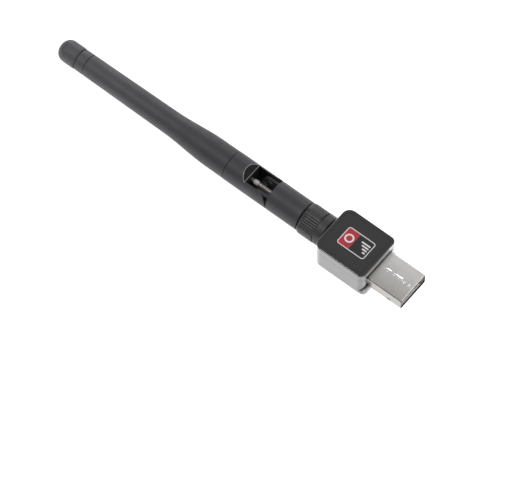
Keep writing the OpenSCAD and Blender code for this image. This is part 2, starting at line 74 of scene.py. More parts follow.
def finish(name, look):
    material = bpy.data.materials.new(name)
    material.use_nodes = True
    shader = material.node_tree.nodes["Principled BSDF"]
    place = addNode(material, "ShaderNodeTexCoord").outputs["Object"]
    stretched = addNode(material, "ShaderNodeMapping", wires={"Vector": place},
                        values={"Scale": look.get("stretch", (1, 1, 1))}).outputs["Vector"]
    grain = addNode(material, "ShaderNodeTexNoise", wires={"Vector": stretched},
                    values={"Scale": look["grainScale"], "Detail": 4, "Roughness": 0.6}).outputs["Fac"]
    cloud = addNode(material, "ShaderNodeTexNoise", wires={"Vector": place},
                    values={"Scale": look["cloudScale"], "Detail": 3, "Roughness": 0.5}).outputs["Fac"]
    share = cloud
    if "shadeDrift" in look:  # painted light and shade: the colour also changes along one axis, from one place to another
        axis, begin, end = look["shadeDrift"]
        spot = addNode(material, "ShaderNodeSeparateXYZ", wires={"Vector": place}).outputs[axis]
        share = addNode(material, "ShaderNodeMath", operation="MULTIPLY_ADD", values={1: 0.35},
                        wires={0: cloud, 2: ramp(material, spot, -0.17, 0.83, begin, end)}).outputs["Value"]
    colour = addNode(material, "ShaderNodeMix", data_type="RGBA", wires={"Factor": share})
    colour.inputs["A"].default_value = (*look["colour"], 1)
    colour.inputs["B"].default_value = (*look["colourB"], 1)
    links = material.node_tree.links
    links.new(colour.outputs["Result"], shader.inputs["Base Color"])
    mixed = addNode(material, "ShaderNodeMath", operation="MULTIPLY_ADD",
                    wires={0: grain, 2: cloud}, values={1: 0.6})
    links.new(ramp(material, mixed.outputs["Value"], *look["rough"], 0.5, 1.1), shader.inputs["Roughness"])
    bump = addNode(material, "ShaderNodeBump", wires={"Height": grain},
                   values={"Strength": look["bump"], "Distance": look.get("bumpDepth", 0.00002)})
    links.new(bump.outputs["Normal"], shader.inputs["Normal"])
    shader.inputs["Metallic"].default_value = look.get("metal", 0)
    shader.inputs["IOR"].default_value = look.get("ior", 1.5)
    shader.inputs["Coat Weight"].default_value = look.get("coat", 0)
    shader.inputs["Coat Roughness"].default_value = look.get("coatRough", 0.05)
    shader.inputs["Coat IOR"].default_value = look.get("coatIor", 1.5)
    shader.inputs["Transmission Weight"].default_value = look.get("clear", 0)
    return material


finishes = {
    "caseBlack": dict(colour=(0.012, 0.0115, 0.012), colourB=(0.016, 0.015, 0.016), rough=(0.1, 0.2),
                      grainScale=5200, cloudScale=180, bump=0.05, ior=1.6, coat=1, coatRough=0.06,
                      coatIor=2.0),
    # caseEnd: a light grey copy of the case's black plastic, a painted reflection on the end face and the
    # foot's top
    "caseEnd": dict(colour=(0.36, 0.345, 0.34), colourB=(0.46, 0.44, 0.435), rough=(0.2, 0.32),
                    grainScale=5200, cloudScale=180, bump=0.1, ior=1.6, coat=1, coatRough=0.06, coatIor=2.0),
    "facePlate": dict(colour=(0.018, 0.017, 0.0185), colourB=(0.023, 0.0215, 0.0235), rough=(0.3, 0.42),
                      grainScale=5200, cloudScale=220, bump=0.12, ior=1.5),
    "inkWhite": dict(colour=(0.8, 0.77, 0.77), colourB=(0.86, 0.84, 0.84), rough=(0.25, 0.35),
                     grainScale=4000, cloudScale=400, bump=0.05),
    "inkRed": dict(colour=(0.42, 0.022, 0.035), colourB=(0.5, 0.03, 0.045), rough=(0.22, 0.34),
                   grainScale=4000, cloudScale=500, bump=0.05),
    "inkBlack": dict(colour=(0.01, 0.01, 0.01), colourB=(0.014, 0.014, 0.015), rough=(0.22, 0.34),
                     grainScale=4000, cloudScale=500, bump=0.05),
    # plugSteel: darker on the near side and lighter on the far side, a painted gradient of light and shade
    "plugSteel": dict(colour=(0.4, 0.383, 0.366), colourB=(0.69, 0.675, 0.665), rough=(0.2, 0.36), metal=1,
                      shadeDrift=("Y", -0.0065, 0.0045), grainScale=2600, stretch=(0.08, 1, 1), cloudScale=260,
                      bump=0.16, bumpDepth=0.00001),
    # a bright copy of the plug steel, a painted highlight
    "plugHighlight": dict(colour=(0.9, 0.89, 0.88), colourB=(0.95, 0.94, 0.93), rough=(0.12, 0.22), metal=1,
                       grainScale=2600, stretch=(0.08, 1, 1), cloudScale=260, bump=0.1, bumpDepth=0.00001),
    "plugShade": dict(colour=(0.13, 0.125, 0.12), colourB=(0.19, 0.185, 0.18), rough=(0.2, 0.3), metal=1,
                      grainScale=2600, stretch=(0.08, 1, 1), cloudScale=260, bump=0.1, bumpDepth=0.00001),
    # a near-black copy of the plug steel, painted shade in the mouth
    "mouthShade": dict(colour=(0.05, 0.048, 0.047), colourB=(0.08, 0.077, 0.075), rough=(0.3, 0.45), metal=1,
                      grainScale=2600, stretch=(0.08, 1, 1), cloudScale=260, bump=0.16, bumpDepth=0.00001),
    "nickel": dict(colour=(0.55, 0.54, 0.51), colourB=(0.62, 0.61, 0.59), rough=(0.14, 0.28), metal=1,
                   grainScale=3000, cloudScale=500, bump=0.08, bumpDepth=0.00001),
    "gold": dict(colour=(0.78, 0.56, 0.2), colourB=(0.86, 0.65, 0.28), rough=(0.16, 0.28), metal=1,
                 grainScale=3000, cloudScale=500, bump=0.06, bumpDepth=0.00001),
    "brass": dict(colour=(0.6, 0.42, 0.16), colourB=(0.68, 0.5, 0.2), rough=(0.22, 0.36), metal=1,
                  grainScale=2200, stretch=(0.1, 1, 1), cloudScale=300, bump=0.1, bumpDepth=0.00001),
    "tongueWhite": dict(colour=(0.74, 0.73, 0.68), colourB=(0.82, 0.81, 0.76), rough=(0.4, 0.52),
                        grainScale=4000, cloudScale=250, bump=0.1),
    "ptfe": dict(colour=(0.78, 0.77, 0.73), colourB=(0.84, 0.83, 0.8), rough=(0.35, 0.5),
                 grainScale=3500, cloudScale=300, bump=0.06),
    "boardGreen": dict(colour=(0.02, 0.12, 0.05), colourB=(0.03, 0.17, 0.07), rough=(0.3, 0.42),
                       grainScale=2500, cloudScale=900, bump=0.15),
    "chipBlack": dict(colour=(0.018, 0.018, 0.02), colourB=(0.026, 0.026, 0.028), rough=(0.5, 0.65),
                      grainScale=6000, cloudScale=600, bump=0.3),
    "canMetal": dict(colour=(0.55, 0.55, 0.53), colourB=(0.64, 0.64, 0.62), rough=(0.25, 0.4), metal=1,
                     grainScale=3000, stretch=(1, 0.1, 1), cloudScale=400, bump=0.1, bumpDepth=0.00001),
    "passiveTan": dict(colour=(0.3, 0.22, 0.14), colourB=(0.38, 0.29, 0.2), rough=(0.45, 0.6),
                       grainScale=5000, cloudScale=900, bump=0.2),
    "lightClear": dict(colour=(0.7, 0.82, 0.72), colourB=(0.78, 0.88, 0.8), rough=(0.1, 0.2),
                       grainScale=3000, cloudScale=500, bump=0.03, clear=0.4),
    "rubber": dict(colour=(0.02, 0.02, 0.022), colourB=(0.03, 0.03, 0.032), rough=(0.6, 0.75),
                   grainScale=6000, cloudScale=500, bump=0.3),
    "gripBlack": dict(colour=(0.031, 0.03, 0.033), colourB=(0.04, 0.038, 0.042), rough=(0.38, 0.5),
                      grainScale=6500, cloudScale=350, bump=0.25, ior=1.46),
    # antennaBlack: lighter towards the tip and darker towards the case, a painted gradient of light
    "antennaBlack": dict(colour=(0.085, 0.081, 0.091), colourB=(0.037, 0.0352, 0.04), rough=(0.42, 0.54),
                         shadeDrift=("X", -0.135, -0.06), grainScale=6500, cloudScale=160, bump=0.22, ior=1.46),
    # a darker copy of the antenna plastic, painted shade in grooves, the slot and the recess
    "slotShade": dict(colour=(0.008, 0.008, 0.009), colourB=(0.013, 0.013, 0.014), rough=(0.22, 0.36),
                      grainScale=5000, cloudScale=350, bump=0.3, ior=1.5),
    # a light grey look, a painted highlight on fine edges
    "edgeHighlight": dict(colour=(0.3, 0.29, 0.3), colourB=(0.4, 0.385, 0.4), rough=(0.2, 0.3),
                     grainScale=5000, cloudScale=600, bump=0.1, coat=0.5),
    "cableBrown": dict(colour=(0.2, 0.175, 0.17), colourB=(0.27, 0.24, 0.23), rough=(0.12, 0.22),
                       grainScale=2500, cloudScale=500, bump=0.05, coat=0.6),
    "resinGrey": dict(colour=(0.5, 0.48, 0.48), colourB=(0.62, 0.6, 0.6), rough=(0.2, 0.35),
                      grainScale=2500, cloudScale=900, bump=0.3),
}
materials = {name: finish(name, look) for name, look in finishes.items()}
print("materials made:", len(materials))


# ---- shared shaping ----

def along(edge, axis):
    run = edge.verts[1].co - edge.verts[0].co
    return abs(run[axis]) > 0.999 * run.length


def level(edge, axis, value):
    return all(abs(v.co[axis] - value) < 1e-3 for v in edge.verts)


def bevelled(bm, edges, width, segments):
    bmesh.ops.bevel(bm, geom=edges, offset=width, offset_type="OFFSET", affect="EDGES",
                    segments=segments, profile=0.5, material=-1, clamp_overlap=True)
    return bm


def softened(bm, width, segments=2, angle=35):
    sharp = [e for e in bm.edges if len(e.link_faces) == 2 and e.calc_face_angle(0) > radians(angle)]
    return bevelled(bm, sharp, width, segments)


def block(low, high):
    bm = bmesh.new()
    bmesh.ops.create_cube(bm, size=1)
    low, high = Vector(low), Vector(high)
    bmesh.ops.scale(bm, vec=high - low, verts=bm.verts)
    bmesh.ops.translate(bm, vec=(low + high) / 2, verts=bm.verts)
    return bm


def roundBlock(low, high, axis, radius, segments=10):
    bm = block(low, high)
    return bevelled(bm, [e for e in bm.edges if along(e, axis)], radius, segments)


def rod(start, end, radius, steps=48):  # a cylinder between two points
    bm = bmesh.new()
    start, end = Vector(start), Vector(end)
    bmesh.ops.create_cone(bm, cap_ends=True, segments=steps, radius1=radius, radius2=radius,
                          depth=(end - start).length)
    turn = (end - start).to_track_quat("Z", "X").to_matrix().to_4x4()
    bmesh.ops.transform(bm, matrix=Matrix.Translation((start + end) / 2) @ turn, verts=bm.verts)
    return bm


def turned(outline, steps=96):  # outline is a closed loop of (s, radius)
    bm = bmesh.new()
    verts = [bm.verts.new((atS(s), 0, r)) for s, r in outline]
    for a, b in zip(verts, verts[1:] + verts[:1]):
        bm.edges.new((a, b))
    bmesh.ops.spin(bm, geom=bm.verts[:] + bm.edges[:], axis=(1, 0, 0), cent=(0, 0, 0),
                   angle=2 * pi, steps=steps, use_merge=True)
    bmesh.ops.remove_doubles(bm, verts=bm.verts, dist=1e-4)
    bmesh.ops.recalc_face_normals(bm, faces=bm.faces)
    return bm


def solid(name, bm):
    mesh = bpy.data.meshes.new(name)
    bmesh.ops.recalc_face_normals(bm, faces=bm.faces)
    bm.to_mesh(mesh)
    bm.free()
    made = bpy.data.objects.new(name, mesh)
    scene.collection.objects.link(made)
    return made


def joined(operation, first, *others):  # cuts away or adds the other shapes, one after another
    base = solid("base", first)
    tools = [solid("tool", other) for other in others]
    for tool in tools:
        step = base.modifiers.new("step", "BOOLEAN")
        step.operation, step.solver, step.object = operation, "EXACT", tool
    bpy.context.view_layer.update()
    mesh = bpy.data.meshes.new_from_object(base.evaluated_get(bpy.context.evaluated_depsgraph_get()))
    bm = bmesh.new()
    bm.from_mesh(mesh)
    bpy.data.meshes.remove(mesh)
    for made in (base, *tools):
        bpy.data.objects.remove(made)
    bmesh.ops.remove_doubles(bm, verts=bm.verts, dist=1e-4)
    return bm


def cut(first, *others):
    return joined("DIFFERENCE", first, *others)


def added(first, *others):
    return joined("UNION", first, *others)


def sliced(bm, point, normal, clear=False):
    bmesh.ops.bisect_plane(bm, geom=bm.verts[:] + bm.edges[:] + bm.faces[:], plane_co=point, plane_no=normal,
                           clear_outer=clear)
    return bm


def middle(face):
    return face.calc_center_median()


def paint(bm, index, test):
    for face in bm.faces:
        if test(face):
            face.material_index = index
    return bm


def piece(name, bm, body, replaced, looks, sharpAngle=32):
    bmesh.ops.scale(bm, vec=(mm, mm, mm), verts=bm.verts)
    made = solid(name, bm)
    for look in looks:
        made.data.materials.append(materials[look])
    made.data.shade_smooth()
    made.data.set_sharp_from_angle(angle=radians(sharpAngle))
    weighted = made.modifiers.new("weighted", "WEIGHTED_NORMAL")
    weighted.keep_sharp = True
    if body:
        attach(made, body)
    if replaced:
        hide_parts(*replaced)
    return made


# ---- case ----

case = dict(halfWidth=8.6, low=-5.4, high=5.4, split=2.4, corners=((caseEnd, 2.8), (0, 1.8)), wall=1.1,
            topEdge=0.35, lowEdge=1.0, seam=0.05, barrelHole=3.25, light=(-8.46, -4.3), lightRadius=0.5,
            faceLine=dict(rim=0.85, width=0.16, depth=0.07, slope=0.05),
            underLine=dict(rim=0.35, width=0.16, depth=0.14, slope=0.12),
            plugGap=dict(back=-1.6, halfWidth=6.4, low=1.0, top=3.0),
            plugHole=dict(back=-1.6, halfWidth=6.15, low=-2.4))


def caseBlock(low, high, inset=0):  # a block of the case's outline, drawn in by the inset
    half = case["halfWidth"] - inset
    bm = block((caseEnd + inset, -half, low), (-inset, half, high))
    for x, radius in case["corners"]:
        end = x + inset if x < 0 else -inset
        bevelled(bm, [e for e in bm.edges if along(e, 2) and level(e, 0, end)], radius - inset, 14)
    return bm


def faceAt(bm, z):  # the largest face at that height
    return max((f for f in bm.faces if abs(middle(f).z - z) < 1e-3), key=lambda f: f.calc_area())


def pressLine(bm, face, line):  # a shallow line pressed in round the face
    bmesh.ops.inset_region(bm, faces=[face], thickness=line["rim"], use_even_offset=True)
    for width, depth in ((line["slope"], -line["depth"]), (line["width"], 0), (line["slope"], line["depth"])):
        bmesh.ops.inset_region(bm, faces=[face], thickness=width, depth=depth, use_even_offset=True)


def barrelHole():
    return rod((caseEnd - 1, 0, 0), (caseEnd + case["wall"] + 0.2, 0, 0), case["barrelHole"])


def makeCaseTop():
    high, split, gap, line = case["high"], case["split"], case["plugGap"], case["faceLine"]
    looks = ["caseBlack", "facePlate", "caseEnd", "rubber", "edgeHighlight"]
    bm = caseBlock(split, high)
    bevelled(bm, [e for e in bm.edges if level(e, 2, high)], case["topEdge"], 4)
    bevelled(bm, [e for e in bm.edges if level(e, 2, split)], case["seam"], 1)
    pressLine(bm, faceAt(bm, high), line)
    over = block((gap["back"], -gap["halfWidth"], gap["low"]), (1, gap["halfWidth"], gap["top"]))
    bm = cut(bm, caseBlock(0, high - case["wall"], case["wall"]), barrelHole(), over)
    lineFloor, lineEnd = high - line["depth"], caseEnd + line["rim"]
    paint(bm, looks.index("facePlate"), lambda f: middle(f).z > lineFloor - 0.01 and f.normal.z > 0.9)
    # painted reflection: the end face beside the plug gets the light grey copy
    paint(bm, looks.index("caseEnd"), lambda f: middle(f).x > -0.02 and f.normal.x > 0.99)
    # painted highlight on the edges beside the antenna: the line's floor, and a strip of the rounding
    paint(bm, looks.index("edgeHighlight"), lambda f: f.normal.z > 0.99 and abs(middle(f).z - lineFloor) < 0.01
          and abs(middle(f).x - lineEnd) < 0.25)
    paint(bm, looks.index("edgeHighlight"), lambda f: 0.7 < f.normal.z < 0.97 and f.normal.x < -0.2
          and middle(f).z > high - case["topEdge"] and middle(f).x < caseEnd + 0.4)
    paint(bm, looks.index("rubber"), lambda f: middle(f).z < gap["top"] + 0.01
          and gap["back"] - 0.1 < middle(f).x < -0.1 and abs(middle(f).y) < gap["halfWidth"] + 0.01)
    return piece("caseTop", bm, "adapter", ["top_shell"], looks)


# the foot runs on under the plug; its sides lie a hair inside the case's
foot = dict(back=-6, front=0.9, top=-2.7, corner=1.8, edge=0.7, hair=0.004)


def footBlock():
    hair, low = foot["hair"], case["low"] + foot["hair"]
    half = case["halfWidth"] - hair
    bm = roundBlock((foot["back"], -half, low), (foot["front"], half, foot["top"]), 2, foot["corner"], 14)
    bevelled(bm, [e for e in bm.edges if level(e, 2, low)], case["lowEdge"], 6)
    return bevelled(bm, [e for e in bm.edges if level(e, 2, foot["top"])], foot["edge"], 5)


def makeCaseBottom():
    low, split, hole = case["low"], case["split"], case["plugHole"]
    looks = ["caseBlack", "caseEnd"]
    bm = caseBlock(low, split)
    bevelled(bm, [e for e in bm.edges if level(e, 2, split)], case["seam"], 1)
    bevelled(bm, [e for e in bm.edges if level(e, 2, low)], case["lowEdge"], 6)
    bm = added(bm, footBlock())
    pressLine(bm, faceAt(bm, low), case["underLine"])
    plugHole = block((hole["back"], -hole["halfWidth"], hole["low"]), (3, hole["halfWidth"], split + 1))
    x, y = case["light"]
    bm = cut(bm, caseBlock(low + case["wall"], split + 1, case["wall"]), plugHole, barrelHole(),
             rod((x, y, low - 1), (x, y, low + 2), case["lightRadius"], 32))
    # painted reflection: the foot's top beyond the case gets the light grey copy
    paint(bm, looks.index("caseEnd"), lambda f: middle(f).x > 0.02 and f.normal.z > 0.1)
    return piece("caseBottom", bm, "adapter", ["bottom_shell"], looks)


makeCaseTop()
makeCaseBottom()
print("case made")


# ---- badge ----

badge = dict(length=10.3, width=6.9, x=-8.9, low=5.2, face=5.46, top=5.5, corner=0.9, edge=0.04, ink=0.02,
             frame=0.27, inset=0.05, split=-9.6, redTop=5.49, redCorner=0.25,
             ringOuter=1.55, ringInner=1.0, ringAside=0.25,
             bars=4, barsEnd=-4.6, barWidth=0.5, barPitch=0.95, barLength=1.0, barStep=0.75, barCorner=0.12)


def makeBadge():
    x0, x1 = badge["x"] - badge["length"] / 2, badge["x"] + badge["length"] / 2
    half, edge, inkLow, top = badge["width"] / 2, badge["inset"], badge["face"] - badge["ink"], badge["top"]
    looks = ["inkWhite", "inkRed", "inkBlack"]
    bm = roundBlock((x0, -half, badge["low"]), (x1, half, badge["face"]), 2, badge["corner"], 8)
    bevelled(bm, [e for e in bm.edges if level(e, 2, badge["face"])], badge["edge"], 2)
    paint(bm, looks.index("inkBlack"), lambda f: True)
    outer = roundBlock((x0 + edge, edge - half, inkLow), (x1 - edge, half - edge, top), 2,
                       badge["corner"] - edge, 8)
    edge += badge["frame"]
    inner = roundBlock((x0 + edge, edge - half, inkLow - 1), (x1 - edge, half - edge, top + 1), 2,
                       badge["corner"] - edge, 8)
    red = roundBlock((x0 + edge, edge - half, inkLow), (badge["split"], half - edge, badge["redTop"]), 2,
                     badge["redCorner"], 4)
    layers = [(cut(outer, inner), "inkWhite"), (red, "inkRed")]
    # a plain ring on the red half and rising bars on the black half
    x = (x0 + badge["split"]) / 2 + badge["ringAside"]
    ring = cut(rod((x, 0, inkLow), (x, 0, top), badge["ringOuter"]),
               rod((x, 0, inkLow - 1), (x, 0, top + 1), badge["ringInner"]))
    layers.append((ring, "inkWhite"))
    for k in range(badge["bars"]):
        y = (k - (badge["bars"] - 1) / 2) * badge["barPitch"]
        length, side, x = badge["barLength"] + k * badge["barStep"], badge["barWidth"] / 2, badge["barsEnd"]
        bar = roundBlock((x - length, y - side, inkLow), (x, y + side, top), 2, badge["barCorner"], 3)
        layers.append((bar, "inkWhite"))
    for layer, look in layers:
        paint(layer, looks.index(look), lambda f: True)
        mesh = bpy.data.meshes.new("layer")
        layer.to_mesh(mesh)
        layer.free()
        bm.from_mesh(mesh)
        bpy.data.meshes.remove(mesh)
    return piece("badge", bm, "adapter", ["label_badge"], looks)


makeBadge()
print("badge made")


# ---- USB plug ----

plug = dict(root=-5.2, tip=13.0, halfWidth=6.0, halfHeight=2.25, sheet=0.3, corner=0.55, mouthEdge=0.05,
            leadIn=0.26, burn=0.45, front=0.2, latch=2.3, latchX=6.7, latchY=3.0, notch=(-0.6, 1.9),
            latchCorner=0.15, windowX=(7.55, 9.05), windowZ=(-1.6, -1.0), windowCorner=0.12, seamWidth=0.07,
            seam=[(-0.5, 0), (2.2, 0), (2.5, 0.55), (4.3, 0.55), (4.6, -0.1), (6.4, -0.1), (6.1, 0.6),
                  (8.6, 0.6), (8.3, 0), (10.2, 0), (10.5, -0.45), (13.5, -0.45)],
            dimples=[(3.4, -0.35), (5.5, 0.45), (7.4, 0.0), (9.6, -0.55), (11.3, 0.1)], dimple=0.3,
            dimpleDepth=0.12)


def mouthBlock():  # the inside of the plug; it opens out at the mouth, but for its upper side
    tip, width, height = plug["tip"], plug["halfWidth"] - plug["sheet"], plug["halfHeight"] - plug["sheet"]
    bm = roundBlock((plug["root"] - 1, -width, -height), (tip - plug["leadIn"], width, height), 0,
                    plug["corner"] - plug["sheet"], 6)
    sliced(bm, (tip - plug["burn"], 0, 0), (1, 0, 0))
    end = max(bm.faces, key=lambda f: middle(f).x)
    flared = bmesh.ops.extrude_discrete_faces(bm, faces=[end])["faces"][0]
    grow = plug["leadIn"] - 0.02
    bmesh.ops.scale(bm, vec=(1, 1 + grow / width, 1 + grow / 2 / height), verts=flared.verts)
    bmesh.ops.translate(bm, vec=(plug["leadIn"] + 0.01, 0, -grow / 2), verts=flared.verts)
    return bm


def plugOpenings():  # latch holes and notches below, and a small window in each side
    half, high, side, x = plug["halfWidth"], plug["halfHeight"], plug["latch"] / 2, plug["latchX"]
    tools = []
    for y in (-plug["latchY"], plug["latchY"]):
        tools.append(roundBlock((x - side, y - side, -high - 1), (x + side, y + side, -1), 2,
                                plug["latchCorner"], 3))
        tools.append(block((plug["notch"][0], y - side, -high - 1), (plug["notch"][1], y + side, -1)))
    for y in (-half, half):
        tools.append(roundBlock((plug["windowX"][0], y - 1, plug["windowZ"][0]),
                                (plug["windowX"][1], y + 1, plug["windowZ"][1]), 1, plug["windowCorner"], 3))
    return tools


def plugMarks():  # the sheet's folded seam, and the small press marks along it
    high = plug["halfHeight"]
    tools = []
    for (x0, y0), (x1, y1) in zip(plug["seam"], plug["seam"][1:]):
        tools.append(rod((x0, y0, high + 0.02), (x1, y1, high + 0.02), plug["seamWidth"], 8))
    for x, y in plug["dimples"]:
        pit = bmesh.new()
        bmesh.ops.create_icosphere(pit, subdivisions=3, radius=1)
        bmesh.ops.scale(pit, vec=(plug["dimple"], plug["dimple"] * 0.8, plug["dimpleDepth"]), verts=pit.verts)
        bmesh.ops.translate(pit, vec=(x, y, high), verts=pit.verts)
        tools.append(pit)
    return tools


def isHighlightSteel(at, facing):  # painted highlight: the inside, the top's front edge and the press marks
    high, tip = plug["halfHeight"], plug["tip"]
    inside = abs(at.y) < plug["halfWidth"] - 0.2 and abs(at.z) < high - 0.2
    front = at.x > tip - plug["front"] and at.z > high - 0.32 and facing.x > -0.1
    dimpled = any((Vector(mark) - at.xy).length < plug["dimple"] for mark in plug["dimples"])
    marked = dimpled or 0.3 < at.y < 1.2
    pressed = marked and 0.3 < at.x < tip - 0.3 and at.z > high - 0.16 and facing.z < 0.995
    return inside or front or pressed


def isMouthShade(at, facing):  # painted shade on the lower and side edges round the mouth
    inside = abs(at.y) < plug["halfWidth"] - 0.01 and abs(at.z) < plug["halfHeight"] - 0.005
    return inside and at.x > plug["tip"] - plug["burn"] and at.z < 1.9 and facing.z > -0.5


def isShadedSteel(at, facing):  # the rounding along the near top edge
    near = at.z > 1.5 and at.y < 0.5 - plug["halfWidth"]
    return near and 0.3 < facing.z < 0.97 and facing.y < -0.2 and abs(facing.x) < 0.1


def makePlug():
    half, high, tip = plug["halfWidth"], plug["halfHeight"], plug["tip"]
    looks = ["plugSteel", "mouthShade", "plugHighlight", "plugShade"]
    bm = roundBlock((plug["root"], -half, -high), (tip, half, high), 0, plug["corner"], 8)
    bevelled(bm, [e for e in bm.edges if level(e, 0, tip)], plug["mouthEdge"], 2)
    sliced(bm, (tip - plug["front"], 0, 0), (1, 0, 0))
    bm = cut(bm, mouthBlock(), *plugOpenings(), *plugMarks())
    # painted highlight on the inside, the top's front edge and the press marks
    paint(bm, looks.index("plugHighlight"), lambda f: isHighlightSteel(middle(f), f.normal))
    # painted shade on the lower and side edges round the mouth
    paint(bm, looks.index("mouthShade"), lambda f: isMouthShade(middle(f), f.normal))
    paint(bm, looks.index("plugShade"), lambda f: isShadedSteel(middle(f), f.normal))
    return piece("plugShell", bm, "adapter", ["usb_shell"], looks)


makePlug()
print("plug made")


# ---- jack, nut and grip ----

threadPitch = 0.7056
grip = dict(start=0.5, step=3.2, end=9.4, bore=3.45, collar=5.28, neck=5.04, radius=5.38, hexFlat=7.8,
            ribStart=3.48, ribEnd=8.55, barStart=205, bands=3, grooves=9, pitch=7.8, depth=0.28, width=0.24)


def hexagon(s0, s1, flats):
    return rod((atS(s0), 0, 0), (atS(s1), 0, 0), flats / 2 / cos(pi / 6), 6)


def pointUp(bm):  # turns a six-sided rod about the antenna so that a corner points up
    best = max((v.co.to_3d() for v in bm.verts), key=lambda c: c.z)
    lean = Vector((0, best.y, best.z)).angle(Vector((0, 0, 1)))
    turn = Matrix.Rotation(-lean if best.y < 0 else lean, 4, "X")
    bmesh.ops.transform(bm, matrix=turn, verts=bm.verts)
    return bm


def grooveAngles():  # in degrees from +Z towards +Y
    first = grip["barStart"] - (grip["grooves"] - 1) / 2 * grip["pitch"]
    return [first + 360 / grip["bands"] * band + k * grip["pitch"]
            for band in range(grip["bands"]) for k in range(grip["grooves"])]


def pressGrooves(bm):
    centres = grooveAngles()
    for v in bm.verts:
        radius = v.co.yz.length
        if radius < 4.5 or caseEnd - v.co.x < grip["step"] + 0.11:
            continue
        angle = degrees(Vector((v.co.z, v.co.y)).angle_signed(Vector((1, 0))))
        away = radians(min(abs((angle - centre + 180) % 360 - 180) for centre in centres)) * grip["radius"]
        sink = 1 - (away / (2 * grip["width"])) ** 2
        if sink > 0:
            shrink = (radius - grip["depth"] * sink ** 0.5) / radius
            v.co.y *= shrink
            v.co.z *= shrink


def makeGrip():
    a, b, c, rib0, rib1 = grip["start"], grip["step"], grip["end"], grip["ribStart"], grip["ribEnd"]
    bore, collar, neck, r = grip["bore"], grip["collar"], grip["neck"], grip["radius"]
    looks = ["gripBlack", "slotShade"]
    outline = [(a, bore), (a, collar - 0.15), (a + 0.15, collar), (b - 0.2, collar), (b - 0.08, neck),
               (b + 0.1, neck), (b + 0.14, r - 0.1), (rib0, r)]
    outline += [(rib0 + (rib1 - rib0) * k / 6, r) for k in range(1, 7)]
    outline += [(c - 0.4, r - 0.14), (c - 0.1, r - 0.34), (c, r - 0.45), (c, bore)]
    bm = turned(outline, 540)
    pressGrooves(bm)
    bm = cut(bm, pointUp(hexagon(a + 0.45, c + 1, grip["hexFlat"] + 0.1)))
    # painted shade in the grip's grooves
    paint(bm, looks.index("slotShade"), lambda f: rib0 + 0.02 < caseEnd - middle(f).x < rib1 - 0.05
          and 4.5 < middle(f).yz.length < r - 0.08)
    return piece("gripSleeve", bm, "nut", ["knurled_sleeve"], looks)


nut = dict(start=1.0, end=9.2, edge=0.12, mouth=3.5, bore=3.2, thread=0.18, wall=7.35, ferruleBore=2.75,
           ring=(7.65, 8.05), ringBore=3.1)


def threadProfile(start, end, crest, depth):
    points = []
    for k in range(int((end - start) / threadPitch)):
        for share, radius in ((0, crest - depth), (0.3, crest), (0.6, crest), (0.9, crest - depth)):
            points.append((start + (k + share) * threadPitch, radius))
    return points


def makeNut():
    bore, wall, ferrule, ringBore = nut["bore"], nut["wall"], nut["ferruleBore"], nut["ringBore"]
    ring0, ring1 = nut["ring"]
    bm = pointUp(hexagon(nut["start"], nut["end"], grip["hexFlat"]))
    softened(bm, nut["edge"], 2)
    hollow = [(nut["start"] - 1, 0), (nut["start"] - 1, nut["mouth"]), (nut["start"], nut["mouth"]),
              (nut["start"] + 0.3, bore)]
    hollow += threadProfile(nut["start"] + 0.35, wall - 0.6, bore + nut["thread"], nut["thread"])
    hollow += [(wall, bore), (wall, ferrule), (ring0, ferrule), (ring0, ringBore), (ring1, ringBore),
               (ring1, ferrule), (nut["end"] + 1, ferrule), (nut["end"] + 1, 0)]
    bm = cut(bm, turned(hollow, 64))
    return piece("hexNut", bm, "nut", ["coupling_nut"], ["nickel"])


jack = dict(flange=3.2, flangeS=(-2.65, -1.15), flangeEdge=0.15, radius=3.1, neck=2.85, end=5.85, bore=2.3,
            depth=0.22, core=1)


def makeJack():
    s0, s1 = jack["flangeS"]
    r, end, core = jack["radius"], jack["end"], jack["core"]
    plate = block((atS(s1), -jack["flange"], -jack["flange"]), (atS(s0), jack["flange"], jack["flange"]))
    softened(plate, jack["flangeEdge"], 2)
    outline = [(s0 + 0.5, core), (s0 + 0.5, jack["neck"]), (0.1, jack["neck"])]
    outline += threadProfile(0.15, end - 0.35, r, jack["depth"])
    outline += [(end - 0.3, r - 0.1), (end, r - 0.4), (end, core)]
    bm = added(plate, turned(outline, 72))
    bm = cut(bm, rod((atS(s0) + 1, 0, 0), (atS(end) - 1, 0, 0), jack["bore"], 64))
    return piece("jackBarrel", bm, "adapter", ["jack_body"], ["gold"])


makeGrip()
makeNut()
makeJack()
print("jack, nut and grip made")


# ---- antenna ----

pivotS = 25.35  # where the elbow turns
tube = dict(start=9.65, end=21.55, radius=5.0, edge=0.3, wall=1.4, bore=3.65, ferruleBore=2.75, web=2.0,
            dome=1.1, domeRadius=3.6, coaxHole=1.0, lug=2.2, lugY=(2.4, 3.3), pinBore=1.25)


